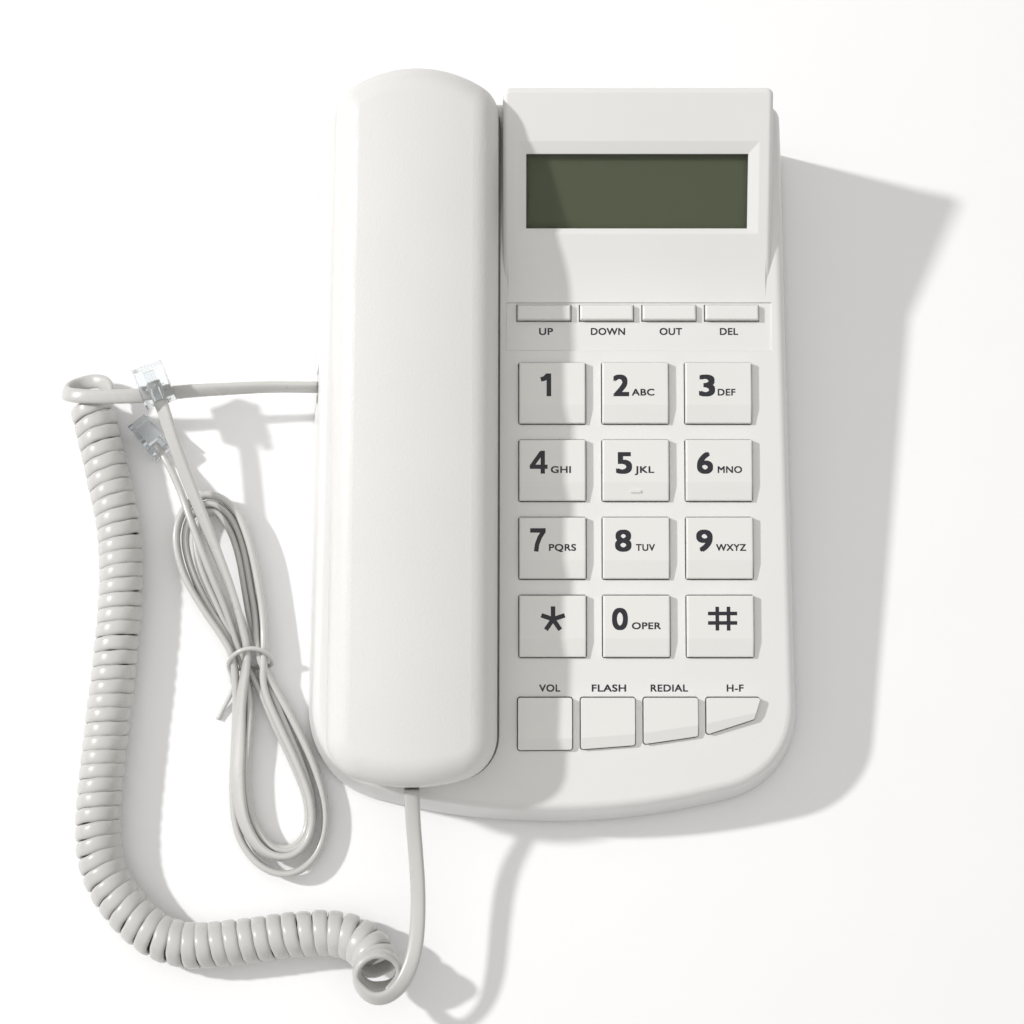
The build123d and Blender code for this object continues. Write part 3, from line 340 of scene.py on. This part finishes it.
def even(line, step, *others):
    """The line, and values given at its points, at even steps."""
    run = run_length(line)
    count = max(2, int(round(run[-1] / step)) + 1)
    at = np.linspace(0, run[-1], count)
    return [np.column_stack([np.interp(at, run, part[:, i]) for i in range(3)]) for part in (line, *others)]


def unit(v):
    return v / np.maximum(np.linalg.norm(v, axis=-1, keepdims=True), 1e-12)


def section(width, thick, power, sides=16):
    """A rounded flat section: (across, out) pairs."""
    ring = []
    for i in range(sides):
        angle = 2 * math.pi * (i + 0.5) / sides
        c, s = math.cos(angle), math.sin(angle)
        ring.append((width / 2 * math.copysign(abs(c) ** (2 / power), c),
                     thick / 2 * math.copysign(abs(s) ** (2 / power), s)))
    return ring


def sweep(name, line, outs, ring, material):
    """A closed tube with this section along a line; outs points out of the section's flat face."""
    ahead = unit(np.gradient(line, axis=0))
    outs = unit(outs - ahead * np.sum(outs * ahead, axis=1, keepdims=True))
    across = np.cross(ahead, outs)
    vertices, faces, sides = [], [], len(ring)
    for point, a, o in zip(line, across, outs):
        vertices.extend(point + a * x + o * y for x, y in ring)
    last = len(line) - 1
    for i in range(last):
        for k in range(sides):
            n = (k + 1) % sides
            faces.append((i * sides + k, i * sides + n, (i + 1) * sides + n, (i + 1) * sides + k))
    faces.append(tuple(range(sides))[::-1])
    faces.append(tuple(last * sides + k for k in range(sides)))
    return add_mesh(name, vertices, faces, material)


def flat_cord(name, points, outs, width, thick, power, material, step):
    """A flat cord along NURBS control points in mm, each with the way its flat face looks."""
    places = np.array(points, float) * MM
    sides = unit(np.array(outs, float))
    line = spline_line(places)
    edge = spline_line(places + sides * MM)
    line, looks = even(line, step, edge - line)
    piece = sweep(name, line, looks, section(width * MM, thick * MM, power), material)
    return piece, line


# ------------------------------------------------------------------ curly handset cord
CURL_WIDTH, CURL_THICK = 4.55, 2.2
CURL_SQUARENESS = 2.7         # 2 is an ellipse
CURL_STEP = 0.0011            # metres between the rings of its mesh
CURL_RADIUS = 5.85
CURL_TURNS = 56
CURL_PER_TURN = 16
CURL_SHRINK = 0.981           # what an order 3 spline cuts off a circle of that many points
CURL_PITCH_PLAY = 0.05        # uneven spacing of the turns, as a share of the pitch
CURL_FIRST_GAP = 1.15
CURL_LAST_GAPS = (1.12, 1.2, 1.1)
CURL_SIDE_PLAY = 0.12         # mm that a turn lies beside the coil's own line
CURL_END_GROWTH = 0.16        # how much wider the last turn is
CURL_END_TURNS = 1.6          # how far back that widening starts

BASE_LEAD = [(-73.11, 21.3, 17.5), (-87.0, 21.7, 17.3), (-101.0, 21.1, 16.8), (-115.0, 20.4, 16.6),
             (-129.0, 18.8, 16.4), (-143.0, 18.6, 16.2)]
COIL = [(-146.8, 17.5, 7.3), (-141.0, -3.5, 7.2), (-136.3, -23.0, 7.2), (-135.0, -43.0, 7.2),
        (-137.2, -74.0, 7.2), (-140.3, -112.0, 7.2), (-138.6, -128.0, 7.2), (-128.5, -142.5, 7.2),
        (-114.0, -151.6, 7.2), (-92.0, -149.0, 7.2), (-70.5, -146.4, 7.3), (-60.8, -147.9, 7.8),
        (-54.6, -152.4, 10.6), (-52.4, -157.6, 15.0), (-52.2, -158.9, 19.0)]
# from the handset down to the coil's last turn, and half way round on top of it
HANDSET_LEAD = [(-42.3, -104.27, 29.99), (-42.2, -112.0, 26.4), (-41.4, -122.0, 23.0), (-40.6, -133.0, 21.0),
                (-40.6, -143.0, 20.3), (-41.2, -150.5, 20.1), (-42.9, -157.0, 20.1), (-45.8, -162.2, 20.0),
                (-50.0, -165.4, 19.8), (-54.4, -165.4, 19.6), (-57.8, -162.4, 19.3)]
# the first turn has come loose: it hangs open behind the coil, under the lead
LOOSE_TURN = [((-151.0, 19.2, 15.2), (-0.35, 0.0, 0.94)), ((-155.2, 21.2, 11.2), (-0.9, 0.25, 0.3)),
              ((-153.2, 24.6, 6.2), (-0.55, 0.3, -0.75)), ((-148.2, 26.6, 4.6), (0.0, 0.15, -1.0)),
              ((-143.6, 26.2, 6.2), (0.35, 0.1, -0.95)), ((-140.8, 22.6, 8.2), (0.8, 0.0, -0.55))]


def curl_points():
    """Control points of the coil's turns, wound round its own line, and the way each looks."""
    axis = spline_line(np.array(COIL) * MM)
    axis = even(axis, 0.0005)[0]
    ahead = unit(np.gradient(axis, axis=0))
    up = np.array([0.0, 0.0, 1.0])
    ups = []
    for a in ahead:
        up = up - a * up.dot(a)
        up = up / np.linalg.norm(up)
        ups.append(up)
    ups = np.array(ups)
    lefts = np.cross(ahead, ups)
    start = -math.pi / 2            # where the loose turn comes in, as an angle from straight up
    end_left = np.array([-1.0, -0.1, 0.0])
    end = math.atan2(end_left.dot(lefts[-1]), end_left.dot(ups[-1]))
    total = 2 * math.pi * CURL_TURNS + (end - start) % (2 * math.pi)
    count = int(total / (2 * math.pi) * CURL_PER_TURN) + 1
    run = run_length(axis)
    turns = total / (2 * math.pi)
    gaps = [1.0 + CURL_PITCH_PLAY * rng.uniform(-1, 1) for _ in range(int(turns) + 2)]
    gaps[0] *= CURL_FIRST_GAP
    for k, wider in enumerate(CURL_LAST_GAPS):
        gaps[k - len(CURL_LAST_GAPS)] *= wider
    knots = np.concatenate([[0.0], np.cumsum(gaps)])
    wobble = []
    for _ in knots:
        wobble.append(rng.uniform(-CURL_SIDE_PLAY, CURL_SIDE_PLAY))
        rng.random()                # a draw that is not used; the later draws follow on from it
    points, outs = [], []
    full = np.interp(turns, np.arange(len(knots)), knots)
    for i in range(count):
        turn = i / (count - 1) * turns
        share = np.interp(turn, np.arange(len(knots)), knots) / full
        at = share * run[-1]
        k = min(int(round(at / run[-1] * (len(axis) - 1))), len(axis) - 1)
        angle = start + turn * 2 * math.pi
        out = math.cos(angle) * ups[k] + math.sin(angle) * lefts[k]
        grow = 1.0 + CURL_END_GROWTH * max(0.0, (turn - turns + CURL_END_TURNS) / CURL_END_TURNS) ** 1.5
        side = np.interp(turn, np.arange(len(knots)), wobble)
        radius = CURL_RADIUS / CURL_SHRINK * grow
        centre = axis[k] / MM + lefts[k] * side
        points.append(centre + out * radius)
        outs.append(out)
    return points, outs


helix, helix_outs = curl_points()
lead_in_outs = [(0.0, -0.9, 0.45), (0.0, -0.9, 0.45), (0.0, -0.85, 0.55), (0.0, -0.7, 0.7), (0.0, -0.4, 0.9),
                (0.0, -0.2, 0.98)]
lead_out = HANDSET_LEAD[::-1]
lead_out_outs = [(-0.75, -0.4, 0.5), (-0.35, -0.6, 0.7), (0.1, -0.6, 0.8), (0.2, -0.3, 0.93), (0.1, -0.1, 1.0),
                 (-0.1, 0.0, 1.0), (-0.2, 0.0, 0.98), (-0.3, 0.0, 0.95), (-0.3, 0.0, 0.95), (-0.15, 0.0, 1.0),
                 (0.0, -0.1, 1.0)]
curl_route = BASE_LEAD + [p for p, _ in LOOSE_TURN] + helix + lead_out
curl_outs = lead_in_outs + [o for _, o in LOOSE_TURN] + helix_outs + lead_out_outs
curly_cord, curl_line = flat_cord("handset_cord", curl_route, curl_outs, CURL_WIDTH, CURL_THICK, CURL_SQUARENESS,
                                  cord_vinyl, CURL_STEP)
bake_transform(curly_cord)
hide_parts("handset_cord_base_lead", "handset_cord_coil", "handset_cord_lead")

# ------------------------------------------------------------------ line cord, folded into a hank
FLAT_WIDTH, FLAT_THICK = 4.5, 2.3
FLAT_SQUARENESS = 2.8
FLAT_STEP = 0.0014            # metres between the rings of its mesh
UPPER_OUTER = [(-90.4, -50.0), (-92.6, -38.0), (-95.6, -25.0), (-100.2, -14.0), (-108.5, -9.4), (-116.6, -13.6),
               (-120.4, -24.0), (-117.4, -36.0), (-110.8, -47.0), (-104.0, -55.8)]
UPPER_INNER = [(-95.2, -51.0), (-96.9, -40.0), (-99.2, -30.0), (-102.5, -21.0), (-107.4, -15.8), (-111.6, -18.6),
               (-112.2, -26.0), (-109.3, -35.5), (-105.2, -44.0), (-100.9, -53.0)]
LOWER_OUTER = [(-98.6, -76.0), (-99.0, -90.0), (-99.2, -105.0), (-97.2, -118.0), (-90.0, -127.8), (-80.0, -130.2),
               (-71.8, -123.5), (-69.4, -111.5), (-72.8, -98.0), (-79.6, -84.5), (-86.2, -72.6)]
LOWER_INNER = [(-94.0, -76.0), (-94.2, -88.0), (-94.6, -99.0), (-92.8, -110.0), (-87.0, -118.4), (-80.6, -120.2),
               (-76.2, -115.0), (-76.8, -106.0), (-81.6, -95.0), (-86.9, -83.0), (-91.4, -71.6)]
TAIL_A = [(-124.6, 21.6, 21.8), (-122.0, 15.2, 21.6), (-118.6, 4.5, 20.0), (-114.2, -7.5, 17.2),
          (-109.6, -18.5, 14.6), (-105.2, -29.5, 12.6), (-100.2, -41.5, 11.2), (-96.6, -53.0, 10.2)]
TAIL_B = [(-101.4, -49.0, 8.6), (-106.4, -37.5, 12.0), (-111.4, -25.0, 13.2), (-115.8, -13.2, 11.6),
          (-119.2, -6.0, 8.6), (-122.6, 0.2, 6.2), (-126.0, 5.0, 5.4)]
TIE_Y = -62.3                 # the line along which all strands cross under the tie
STRAND_PLAY = 0.25            # uneven lay of the strands, sideways and in height
STRAND_LIFT_PLAY = 0.4
# Each pass, in mm: under the tie (down or up) its x and height; round a loop, how far in from the outer line
# towards the inner one it starts and ends, and its height.
PASSES = [("down", -94.6, 0.0, 8.4), ("lower", 0.3, 0.75, 6.6), ("up", -89.8, 0.0, 7.4),
          ("upper", 0.0, 0.15, 6.4), ("down", -99.4, 0.0, 6.8), ("lower", 0.0, 0.0, 4.4),
          ("up", -92.2, 0.0, 7.8), ("upper", 0.55, 0.4, 4.8), ("down", -97.6, 0.0, 3.6),
          ("lower", 1.0, 0.4, 4.6), ("up", -91.2, 0.0, 3.5), ("upper", 1.0, 0.8, 3.8),
          ("down", -95.2, 0.0, 3.6), ("lower", 0.6, 1.0, 3.6), ("up", -97.4, 0.0, 4.2)]


def hank_points():
    """The hank's control points from plug to plug, and the way the cord's flat face looks at each."""
    points = list(TAIL_A)
    outs = [(-0.35, 0.1, 0.93), (-0.45, 0.1, 0.88), (-0.6, 0.0, 0.8), (-0.6, 0.0, 0.8), (-0.7, 0.0, 0.7),
            (-0.8, 0.0, 0.6), (-0.95, 0.0, 0.3), (-1.0, 0.0, 0.1)]
    loops = {"upper": (UPPER_OUTER, UPPER_INNER), "lower": (LOWER_OUTER, LOWER_INNER)}
    for kind, first, last, height in PASSES:
        if kind in loops:
            outer, inner = loops[kind]
            for k, ((x0, y0), (x1, y1)) in enumerate(zip(outer, inner)):
                inward = first + (last - first) * k / (len(outer) - 1)
                shift = rng.uniform(-STRAND_PLAY, STRAND_PLAY)
                points.append((x0 + (x1 - x0) * inward + shift, y0 + (y1 - y0) * inward + shift,
                               height + rng.uniform(-STRAND_LIFT_PLAY, STRAND_LIFT_PLAY)))
                outs.append(None)
        else:
            points.append((first, TIE_Y, height))
            outs.append(None)
    points += TAIL_B
    outs += [None] * len(TAIL_B)
    line = np.array(points)
    ahead = unit(np.gradient(line, axis=0))
    looks = []
    for i, out in enumerate(outs):
        if out is None:
            side = np.cross(ahead[i], (0.0, 0.0, 1.0))
            looks.append(side / np.linalg.norm(side))
        else:
            looks.append(np.array(out))
    # just past the tie the cord twists flat side up for a while
    for i, lift in enumerate((0.3, 1.2, 2.5, 2.5, 1.2, 0.5)):
        looks[len(TAIL_A) + i] = looks[len(TAIL_A) + i] + np.array((0.0, 0.0, lift))
    return points, looks


hank, hank_looks = hank_points()
line_cord, flat_line = flat_cord("line_cord", hank, hank_looks, FLAT_WIDTH, FLAT_THICK, FLAT_SQUARENESS, cord_vinyl,
                                 FLAT_STEP)
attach(line_cord, "base")
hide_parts("line_cord_hank", "line_cord_tail_a", "line_cord_tail_b")

# the wire tie: from its short end round the hank and back to its long end, twisted together at one side
TIE_DIAMETER = 1.4
TIE_ROUTE = [(-98.2, -75.4, 1.0), (-98.8, -72.8, 2.4), (-100.0, -70.6, 4.2), (-100.0, -68.4, 5.6),
             (-101.0, -66.2, 6.4), (-100.8, -64.0, 9.0), (-97.6, -61.4, 12.0), (-93.4, -60.2, 12.2),
             (-89.2, -61.2, 10.8), (-87.2, -63.4, 7.0), (-88.0, -65.0, 2.6), (-93.0, -65.4, 0.9), (-98.6, -65.6, 1.6),
             (-101.0, -67.6, 4.0), (-99.4, -69.6, 5.0), (-99.6, -72.0, 3.6), (-101.6, -75.6, 2.0),
             (-103.4, -78.6, 1.2), (-104.8, -81.6, 0.9)]
TIE_OUTS = [(1.0, 0.0, 0.3)] * 5 + [(0.1, 1.0, 0.0)] * 8 + [(1.0, 0.0, 0.3)] * 6
TIE_STEP = 0.0008
tie, _ = flat_cord("hank_tie", TIE_ROUTE, TIE_OUTS, TIE_DIAMETER, TIE_DIAMETER, 2.0, tie_vinyl, TIE_STEP)
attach(tie, "base")
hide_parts("line_cord_tie")


# ------------------------------------------------------------------ legends
FONT_CAPITAL = 0.729          # height of the built-in font's capitals at size 1
PRINT_LAYER = 0.004           # mm between strokes that cross, so that no two lie in one plane


def strokes(name, lines, width, material):
    """Printed strokes of one width as a thin mesh; each line is its middle, in mm."""
    vertices, faces = [], []
    for layer, line in enumerate(lines):
        path = [Vector(p) for p in line]
        for i, point in enumerate(path):
            before = (point - path[i - 1]).normalized() if i else None
            after = (path[i + 1] - point).normalized() if i + 1 < len(path) else None
            ahead = ((before or after) + (after or before)).normalized()
            reach = width / 2 / max(0.3, ahead.dot(after or before))
            side = Vector((-ahead.y, ahead.x)) * reach
            for corner in (point + side, point - side):
                vertices.append((corner.x * MM, corner.y * MM, layer * PRINT_LAYER * MM))
            if i:
                k = len(vertices)
                faces.append((k - 4, k - 3, k - 1, k - 2))
    return add_mesh(name, vertices, faces, material, False)


STROKES = {
    "1": (1.4, [[(2.55, 0.0), (2.55, 7.0)], [(0.1, 5.15), (1.3, 5.5), (2.3, 6.6)]]),
    "4": (1.3, [[(3.95, 0.0), (3.95, 7.0)], [(0.0, 2.1), (5.4, 2.1)], [(0.55, 2.2), (3.6, 6.5)]]),
    "7": (1.35, [[(0.1, 6.4), (4.8, 6.4)], [(4.25, 6.3), (3.0, 4.3), (2.2, 2.2), (1.9, 0.0)]]),
    "*": (1.35, [[(3.9, 3.2), (3.9 + 3.7 * math.cos(math.radians(a)), 3.2 + 3.9 * math.sin(math.radians(a)))]
                 for a in (90, 18, -54, -126, 162)]),
    "#": (1.1, [[(2.8, -0.2), (2.8, 7.0)], [(6.2, -0.2), (6.2, 7.0)], [(0.0, 4.95), (8.8, 4.95)],
                 [(0.0, 2.1), (8.8, 2.1)]]),
}


def letters(name, words, height, bold, material):
    """Printed words as a thin mesh: lower left corner at its origin, capitals of this height."""
    curve = bpy.data.curves.new("words", "FONT")
    curve.body = words
    curve.space_character = 1.06
    curve.resolution_u = 6
    holder = bpy.data.objects.new("words", curve)
    scene.collection.objects.link(holder)
    bpy.context.view_layer.update()
    mesh = bpy.data.meshes.new_from_object(holder)
    bpy.data.objects.remove(holder)
    bpy.data.curves.remove(curve)
    scale = height / (FONT_CAPITAL + bold)
    outline = np.array([v.co for v in mesh.vertices])
    polygons = [tuple(f.vertices) for f in mesh.polygons]
    bpy.data.meshes.remove(mesh)
    # bolder by printing it four times, a little apart
    vertices, faces = [], []
    for layer, (dx, dy) in enumerate(((0, 0), (1, 0), (0, 1), (1, 1))):
        start = len(vertices)
        for x, y, _ in outline - (outline[:, 0].min(), 0, 0):
            vertices.append(((x + dx * bold) * scale, (y + dy * bold) * scale, layer * PRINT_LAYER * MM))
        faces.extend(tuple(start + k for k in f) for f in polygons)
    return add_mesh(name, vertices, faces, material, False)


def print_on_deck(name, words, x, y, height, width, body, lift, bold=0.045):
    """Words on the deck from their left end; x and y in mm along the deck, width is what they fill."""
    if words in STROKES:
        thick, lines = STROKES[words]
        piece = strokes(name, lines, thick, ink)
    else:
        piece = letters(name, words, height * MM, bold, ink)
        wide = max(v.co.x for v in piece.data.vertices)
        piece.data.transform(Matrix.Diagonal((width * MM / wide, 1, 1, 1)))
    piece.data.transform(Matrix.Rotation(DECK_ANGLE, 4, "X"))
    piece.location = deck_point(x, y, lift)
    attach(piece, body)
    return piece


KEY_TOP = 2.2
PRINT_LIFT = 0.03             # mm over the plastic
STRIP_LIFT = -0.37            # the menu strip is sunk into the deck
DIGIT_HEIGHT, LETTER_HEIGHT, LABEL_HEIGHT = 7.0, 2.2, 2.3
DIGIT_BOLD = 0.055
DIGIT_DROP = 1.1              # from a key's middle down to the foot of its digit
LETTER_RISE = 0.2             # from there up to the foot of its letters
KEY_ROWS = [15.4, -8.3, -32.0, -55.7]
# key, what its digit says, the digit's left end and width, then the same for its letters, in mm along the deck
DIGITS = [
    ("1", "1", -3.9, 3.2, None, 0, 0),
    ("2", "2", 18.2, 4.9, "ABC", 23.9, 6.9),
    ("3", "3", 44.4, 4.9, "DEF", 50.1, 5.4),
    ("4", "4", -7.2, 5.4, "GHI", -0.8, 6.1),
    ("5", "5", 19.0, 4.9, "JKL", 24.7, 5.9),
    ("6", "6", 43.6, 4.9, "MNO", 49.9, 7.4),
    ("7", "7", -7.2, 4.8, "PQRS", -1.4, 8.2),
    ("8", "8", 18.6, 5.0, "TUV", 24.9, 5.8),
    ("9", "9", 43.2, 5.0, "WXYZ", 49.2, 9.1),
    ("star", "*", -4.1, 7.8, None, 0, 0),
    ("0", "0", 17.6, 4.8, "OPER", 23.6, 8.8),
    ("hash", "#", 46.6, 8.7, None, 0, 0),
]
for index, (key, digit, x, wide, small, small_x, small_wide) in enumerate(DIGITS):
    foot = KEY_ROWS[index // 3] - DIGIT_DROP
    lift = KEY_TOP + PRINT_LIFT
    print_on_deck("digit_" + key, digit, x, foot, DIGIT_HEIGHT, wide, "button_" + key, lift, DIGIT_BOLD)
    if small:
        print_on_deck("letters_" + key, small, small_x, foot + LETTER_RISE, LETTER_HEIGHT, small_wide,
                      "button_" + key, lift)

MENU_LABELS = 33.6            # along the deck
FUNCTION_LABELS = -75.4
LABELS = [
    ("UP", -4.3, MENU_LABELS, 4.3, STRIP_LIFT),
    ("DOWN", 11.6, MENU_LABELS, 10.5, STRIP_LIFT),
    ("OUT", 32.7, MENU_LABELS, 6.9, STRIP_LIFT),
    ("DEL", 51.2, MENU_LABELS, 5.6, STRIP_LIFT),
    ("VOL", -4.4, FUNCTION_LABELS, 6.4, PRINT_LIFT),
    ("FLASH", 11.5, FUNCTION_LABELS, 10.4, PRINT_LIFT),
    ("REDIAL", 29.3, FUNCTION_LABELS, 11.3, PRINT_LIFT),
    ("H-F", 52.3, FUNCTION_LABELS, 5.1, PRINT_LIFT),
]
for words, x, y, wide, lift in LABELS:
    print_on_deck("label_" + words.replace("-", "_").lower(), words, x, y, LABEL_HEIGHT, wide, "base", lift)
